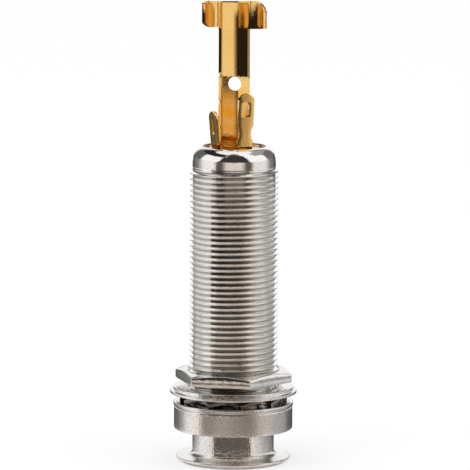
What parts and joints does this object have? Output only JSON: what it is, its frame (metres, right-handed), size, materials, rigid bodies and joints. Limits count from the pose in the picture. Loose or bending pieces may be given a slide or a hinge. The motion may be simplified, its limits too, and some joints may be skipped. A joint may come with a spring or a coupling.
{
  "type": "quarter inch phone jack",
  "caption": "Long threaded barrel jack for a three-pole plug, with a strap button at the front, hex nut and washers, solder lugs and a crimp tail at the rear.",
  "frame": {"origin": "centre of the strap button's front face, which the jack stands on", "axes": "+Z along the barrel from the plug mouth towards the cable end; the cable trough opens towards -Y"},
  "size_m": [0.0172, 0.0172, 0.0622],
  "materials": {
    "nickel_barrel": "nickel plated, turned and threaded",
    "nickel_button": "nickel plated, turned and polished",
    "nickel_washer": "nickel plated, stamped",
    "nickel_nut": "nickel plated, satin flats",
    "fibre": "pale insulating tube",
    "phenolic": "red-brown laminate",
    "gold_terminal": "gold plated, bright",
    "gold_spring": "gold plated, bright"
  },
  "bodies": {
    "button": {"strap_button": "nickel_button", "seat_washer": "nickel_washer", "lock_washer": "nickel_washer", "dress_washer": "nickel_washer"},
    "jack": {"barrel": "nickel_barrel", "insulating_sleeve": "fibre", "front_insulator": "phenolic", "tip_terminal": "gold_terminal", "middle_insulator": "phenolic", "ring_terminal": "gold_terminal", "rear_insulator": "phenolic", "ground_terminal": "gold_terminal"},
    "nut": {"hex_nut": "nickel_nut"},
    "tip_leaf": {"tip_spring": "gold_spring"},
    "ring_leaf": {"ring_spring": "gold_spring"}
  },
  "joints": [
    {"name": "barrel_unscrew", "type": "slide", "parent": "button", "child": "jack", "axis": [0, 0, 1], "range_m": [0, 0.0064]},
    {"name": "nut_run", "type": "slide", "parent": "jack", "child": "nut", "axis": [0, 0, 1], "range_m": [-0.0007, 0.0269]},
    {"name": "tip_flex", "type": "hinge", "parent": "jack", "child": "tip_leaf", "pos_m": [-0.00144, 0.00309, 0.0366], "axis": [0.9063, 0.4226, 0], "range_deg": [0, 7.6], "stiffness_Nm_per_rad": 0.3},
    {"name": "ring_flex", "type": "hinge", "parent": "jack", "child": "ring_leaf", "pos_m": [0.00312, 0.00139, 0.0366], "axis": [0.4067, -0.9135, 0], "range_deg": [0, 1.95], "stiffness_Nm_per_rad": 1.9}
  ]
}
